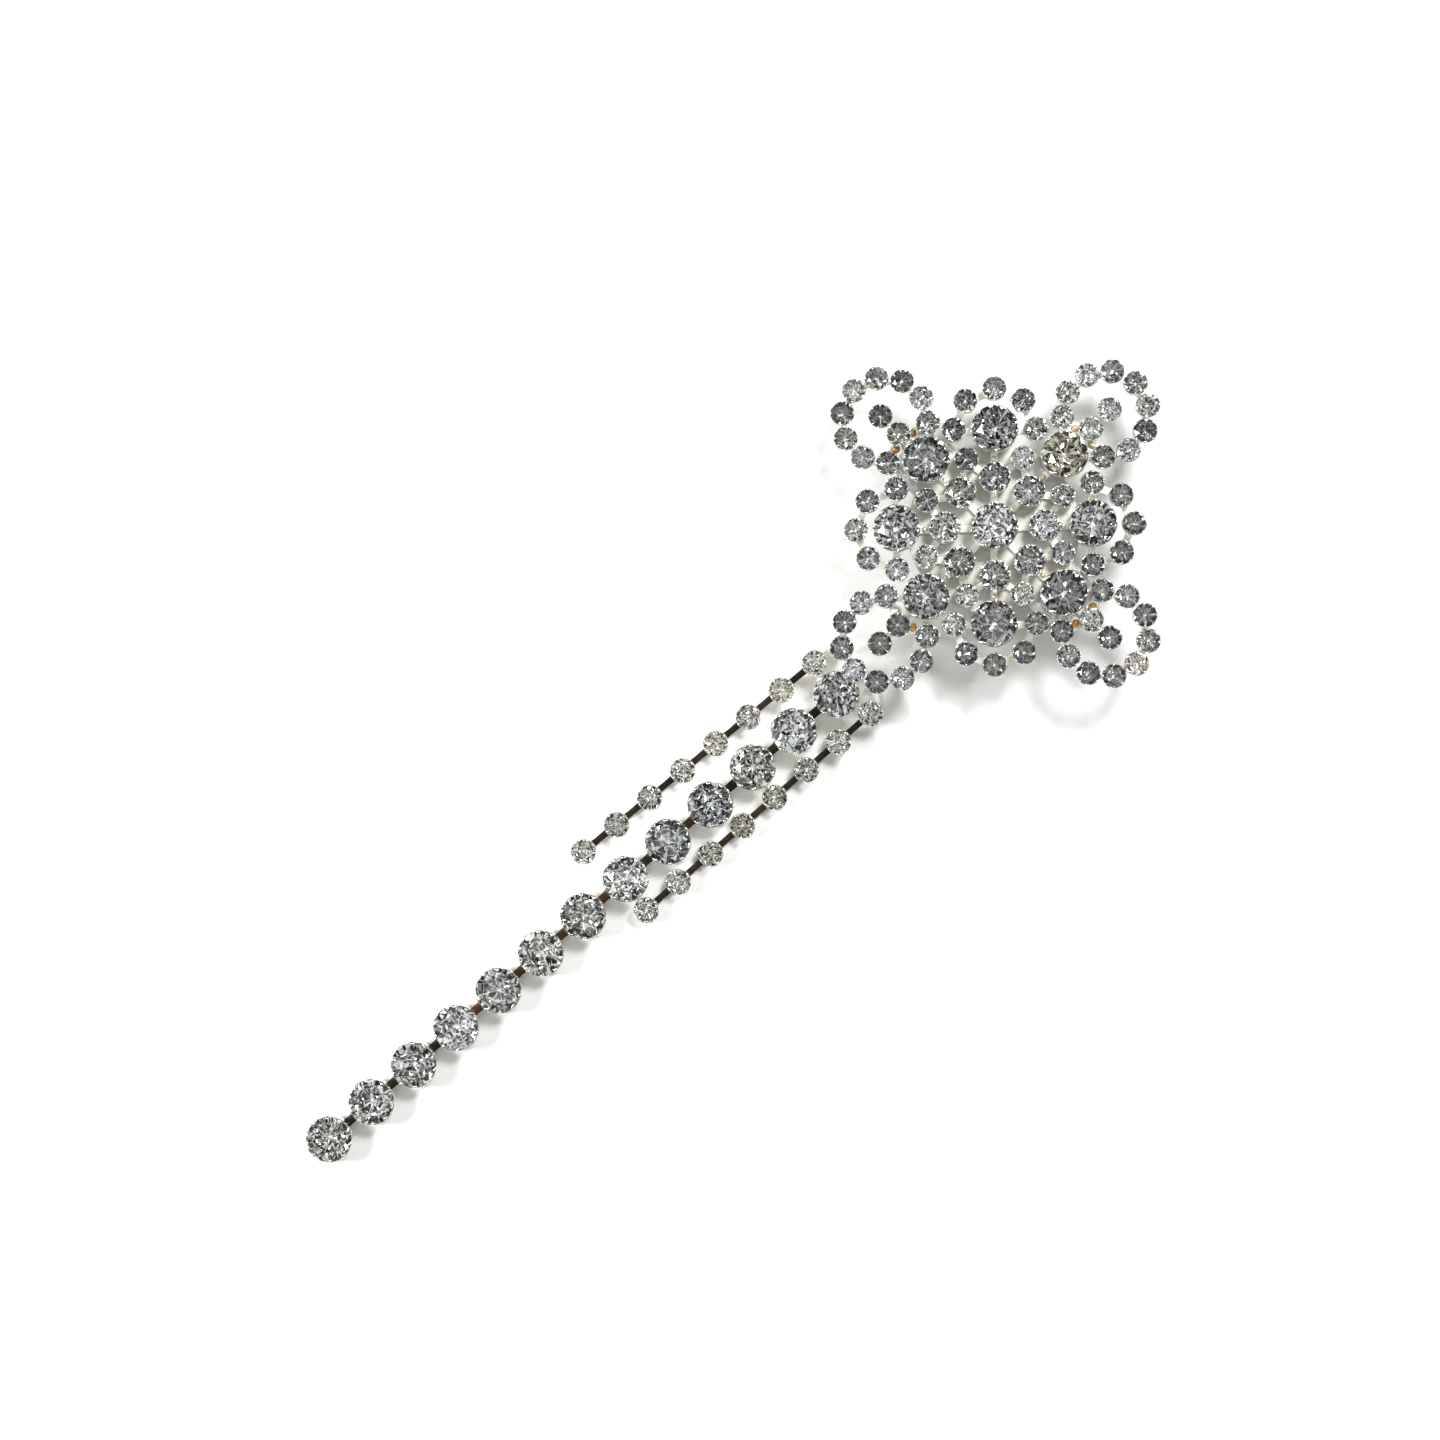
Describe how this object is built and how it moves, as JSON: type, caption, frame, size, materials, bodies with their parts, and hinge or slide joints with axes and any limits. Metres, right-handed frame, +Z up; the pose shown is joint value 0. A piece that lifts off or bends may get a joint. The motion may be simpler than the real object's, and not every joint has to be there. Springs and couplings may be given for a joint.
{
  "type": "rhinestone hair clip",
  "caption": "Square ornament of set crystal stones with looped corners and a jointed tassel of cup-chain strands, on a sprung alligator hair clip.",
  "frame": {"origin": "middle of the upper jaw's gripping face, under the centre stone", "axes": "+Z up, away from the hair, with the clip lying on a table; +Y away from the tassel; +X towards the clip's lever"},
  "size_m": [0.0532, 0.1465, 0.0114],
  "materials": {
    "crystal": "polished",
    "cup_metal": "polished",
    "frame_metal": "satin",
    "wire_metal": "satin",
    "solder": "satin",
    "clip_steel": "satin",
    "spring_steel": "satin"
  },
  "bodies": {
    "head": {"mounting_plate": "frame_metal", "core_frame": "frame_metal", "trefoil_frames": "frame_metal", "upper_loop_frame": "frame_metal", "lower_loop_frame": "frame_metal", "left_loop_frame": "frame_metal", "right_loop_frame": "frame_metal", "solder_beads": "solder", "centre_cup": "cup_metal", "outer_ring_cups": "cup_metal", "inner_ring_cups": "cup_metal", "filler_cups": "cup_metal", "trefoil_cups": "cup_metal", "upper_loop_cups": "cup_metal", "lower_loop_cups": "cup_metal", "left_loop_cups": "cup_metal", "right_loop_cups": "cup_metal", "centre_stone": "crystal", "outer_ring_stones": "crystal", "inner_ring_stones": "crystal", "filler_stones": "crystal", "trefoil_stones": "crystal", "loop_stones": "crystal", "clip_top_jaw": "clip_steel", "clip_pin": "clip_steel", "clip_spring": "spring_steel"},
    "lower_jaw": {"clip_lower_jaw": "clip_steel"},
    "centre_hanger": {"centre_hanger": "wire_metal"},
    "centre_link_01": {"centre_link_01": "crystal"},
    "centre_link_02": {"centre_link_02": "crystal"},
    "centre_link_03": {"centre_link_03": "crystal"},
    "centre_link_04": {"centre_link_04": "crystal"},
    "centre_link_05": {"centre_link_05": "crystal"},
    "centre_link_06": {"centre_link_06": "crystal"},
    "centre_link_07": {"centre_link_07": "crystal"},
    "centre_link_08": {"centre_link_08": "crystal"},
    "centre_link_09": {"centre_link_09": "crystal"},
    "centre_link_10": {"centre_link_10": "crystal"},
    "centre_link_11": {"centre_link_11": "crystal"},
    "centre_link_12": {"centre_link_12": "crystal"},
    "centre_link_13": {"centre_link_13": "crystal"},
    "left_hanger": {"left_hanger": "wire_metal"},
    "left_link_01": {"left_link_01": "crystal"},
    "left_link_02": {"left_link_02": "crystal"},
    "left_link_03": {"left_link_03": "crystal"},
    "left_link_04": {"left_link_04": "crystal"},
    "left_link_05": {"left_link_05": "crystal"},
    "left_link_06": {"left_link_06": "crystal"},
    "left_link_07": {"left_link_07": "crystal"},
    "left_link_08": {"left_link_08": "crystal"},
    "right_hanger": {"right_hanger": "wire_metal"},
    "right_link_01": {"right_link_01": "crystal"},
    "right_link_02": {"right_link_02": "crystal"},
    "right_link_03": {"right_link_03": "crystal"},
    "right_link_04": {"right_link_04": "crystal"},
    "right_link_05": {"right_link_05": "crystal"},
    "right_link_06": {"right_link_06": "crystal"},
    "right_link_07": {"right_link_07": "crystal"},
    "right_link_08": {"right_link_08": "crystal"}
  },
  "joints": [
    {"name": "jaw_open", "type": "hinge", "parent": "head", "child": "lower_jaw", "pos_m": [0.00413, 0, -0.00205], "axis": [0, -1, 0], "range_deg": [0, 20], "stiffness_Nm_per_rad": 0.12, "springref_deg": -20.05, "deforming": ["clip_spring"]},
    {"name": "centre_sway", "type": "hinge", "parent": "head", "child": "centre_hanger", "pos_m": [-0.00005, -0.02489, 0.0009], "axis": [0, 0, 1], "range_deg": [-5, 5]},
    {"name": "centre_bend_01", "type": "hinge", "parent": "centre_hanger", "child": "centre_link_01", "pos_m": [0.00065, -0.0267, -0.00254], "axis": [-0.9972, 0.075, 0], "range_deg": [-20, 20]},
    {"name": "centre_bend_02", "type": "hinge", "parent": "centre_link_01", "child": "centre_link_02", "pos_m": [0.00011, -0.03394, -0.00329], "axis": [-0.9972, 0.075, 0], "range_deg": [-20, 20]},
    {"name": "centre_bend_03", "type": "hinge", "parent": "centre_link_02", "child": "centre_link_03", "pos_m": [-0.00044, -0.04118, -0.00404], "axis": [-0.9972, 0.075, 0], "range_deg": [-20, 20]},
    {"name": "centre_bend_04", "type": "hinge", "parent": "centre_link_03", "child": "centre_link_04", "pos_m": [-0.00099, -0.04846, -0.00404], "axis": [-0.9972, 0.075, 0], "range_deg": [-20, 20]},
    {"name": "centre_bend_05", "type": "hinge", "parent": "centre_link_04", "child": "centre_link_05", "pos_m": [-0.00153, -0.05574, -0.00404], "axis": [-0.9972, 0.075, 0], "range_deg": [-20, 20]},
    {"name": "centre_bend_06", "type": "hinge", "parent": "centre_link_05", "child": "centre_link_06", "pos_m": [-0.00208, -0.06302, -0.00404], "axis": [-0.9972, 0.075, 0], "range_deg": [-20, 20]},
    {"name": "centre_bend_07", "type": "hinge", "parent": "centre_link_06", "child": "centre_link_07", "pos_m": [-0.00263, -0.0703, -0.00404], "axis": [-0.9972, 0.075, 0], "range_deg": [-20, 20]},
    {"name": "centre_bend_08", "type": "hinge", "parent": "centre_link_07", "child": "centre_link_08", "pos_m": [-0.00318, -0.07758, -0.00404], "axis": [-0.9972, 0.075, 0], "range_deg": [-20, 20]},
    {"name": "centre_bend_09", "type": "hinge", "parent": "centre_link_08", "child": "centre_link_09", "pos_m": [-0.00372, -0.08486, -0.00404], "axis": [-0.9972, 0.075, 0], "range_deg": [-20, 20]},
    {"name": "centre_bend_10", "type": "hinge", "parent": "centre_link_09", "child": "centre_link_10", "pos_m": [-0.00427, -0.09214, -0.00404], "axis": [-0.9972, 0.075, 0], "range_deg": [-20, 20]},
    {"name": "centre_bend_11", "type": "hinge", "parent": "centre_link_10", "child": "centre_link_11", "pos_m": [-0.00482, -0.09942, -0.00404], "axis": [-0.9972, 0.075, 0], "range_deg": [-20, 20]},
    {"name": "centre_bend_12", "type": "hinge", "parent": "centre_link_11", "child": "centre_link_12", "pos_m": [-0.00536, -0.1067, -0.00404], "axis": [-0.9972, 0.075, 0], "range_deg": [-20, 20]},
    {"name": "centre_bend_13", "type": "hinge", "parent": "centre_link_12", "child": "centre_link_13", "pos_m": [-0.00591, -0.11398, -0.00404], "axis": [-0.9972, 0.075, 0], "range_deg": [-20, 20]},
    {"name": "left_sway", "type": "hinge", "parent": "head", "child": "left_hanger", "pos_m": [-0.0028, -0.02403, 0.00073], "axis": [0, 0, 1], "range_deg": [-5, 5]},
    {"name": "left_bend_01", "type": "hinge", "parent": "left_hanger", "child": "left_link_01", "pos_m": [-0.00423, -0.02693, -0.00304], "axis": [-0.994, 0.1097, 0], "range_deg": [-25, 25]},
    {"name": "left_bend_02", "type": "hinge", "parent": "left_link_01", "child": "left_link_02", "pos_m": [-0.00484, -0.03243, -0.00354], "axis": [-0.994, 0.1097, 0], "range_deg": [-25, 25]},
    {"name": "left_bend_03", "type": "hinge", "parent": "left_link_02", "child": "left_link_03", "pos_m": [-0.00544, -0.03792, -0.00404], "axis": [-0.994, 0.1097, 0], "range_deg": [-25, 25]},
    {"name": "left_bend_04", "type": "hinge", "parent": "left_link_03", "child": "left_link_04", "pos_m": [-0.00605, -0.04342, -0.00454], "axis": [-0.994, 0.1097, 0], "range_deg": [-25, 25]},
    {"name": "left_bend_05", "type": "hinge", "parent": "left_link_04", "child": "left_link_05", "pos_m": [-0.00666, -0.04893, -0.00454], "axis": [-0.994, 0.1097, 0], "range_deg": [-25, 25]},
    {"name": "left_bend_06", "type": "hinge", "parent": "left_link_05", "child": "left_link_06", "pos_m": [-0.00727, -0.05445, -0.00454], "axis": [-0.994, 0.1097, 0], "range_deg": [-25, 25]},
    {"name": "left_bend_07", "type": "hinge", "parent": "left_link_06", "child": "left_link_07", "pos_m": [-0.00788, -0.05997, -0.00454], "axis": [-0.994, 0.1097, 0], "range_deg": [-25, 25]},
    {"name": "left_bend_08", "type": "hinge", "parent": "left_link_07", "child": "left_link_08", "pos_m": [-0.00849, -0.06548, -0.00454], "axis": [-0.994, 0.1097, 0], "range_deg": [-25, 25]},
    {"name": "right_sway", "type": "hinge", "parent": "head", "child": "right_hanger", "pos_m": [0.00269, -0.02403, 0.00107], "axis": [0, 0, 1], "range_deg": [-5, 5]},
    {"name": "right_bend_01", "type": "hinge", "parent": "right_hanger", "child": "right_link_01", "pos_m": [0.00553, -0.02651, -0.00304], "axis": [-0.9972, 0.075, 0], "range_deg": [-25, 25]},
    {"name": "right_bend_02", "type": "hinge", "parent": "right_link_01", "child": "right_link_02", "pos_m": [0.00511, -0.03202, -0.00354], "axis": [-0.9972, 0.075, 0], "range_deg": [-25, 25]},
    {"name": "right_bend_03", "type": "hinge", "parent": "right_link_02", "child": "right_link_03", "pos_m": [0.0047, -0.03753, -0.00404], "axis": [-0.9972, 0.075, 0], "range_deg": [-25, 25]},
    {"name": "right_bend_04", "type": "hinge", "parent": "right_link_03", "child": "right_link_04", "pos_m": [0.00429, -0.04304, -0.00454], "axis": [-0.9972, 0.075, 0], "range_deg": [-25, 25]},
    {"name": "right_bend_05", "type": "hinge", "parent": "right_link_04", "child": "right_link_05", "pos_m": [0.00387, -0.04858, -0.00454], "axis": [-0.9972, 0.075, 0], "range_deg": [-25, 25]},
    {"name": "right_bend_06", "type": "hinge", "parent": "right_link_05", "child": "right_link_06", "pos_m": [0.00345, -0.05411, -0.00454], "axis": [-0.9972, 0.075, 0], "range_deg": [-25, 25]},
    {"name": "right_bend_07", "type": "hinge", "parent": "right_link_06", "child": "right_link_07", "pos_m": [0.00304, -0.05964, -0.00454], "axis": [-0.9972, 0.075, 0], "range_deg": [-25, 25]},
    {"name": "right_bend_08", "type": "hinge", "parent": "right_link_07", "child": "right_link_08", "pos_m": [0.00262, -0.06518, -0.00454], "axis": [-0.9972, 0.075, 0], "range_deg": [-25, 25]}
  ],
  "couplings": [
    {"joint": "left_sway", "follows": "centre_sway", "ratio": 1},
    {"joint": "right_sway", "follows": "centre_sway", "ratio": 1}
  ]
}
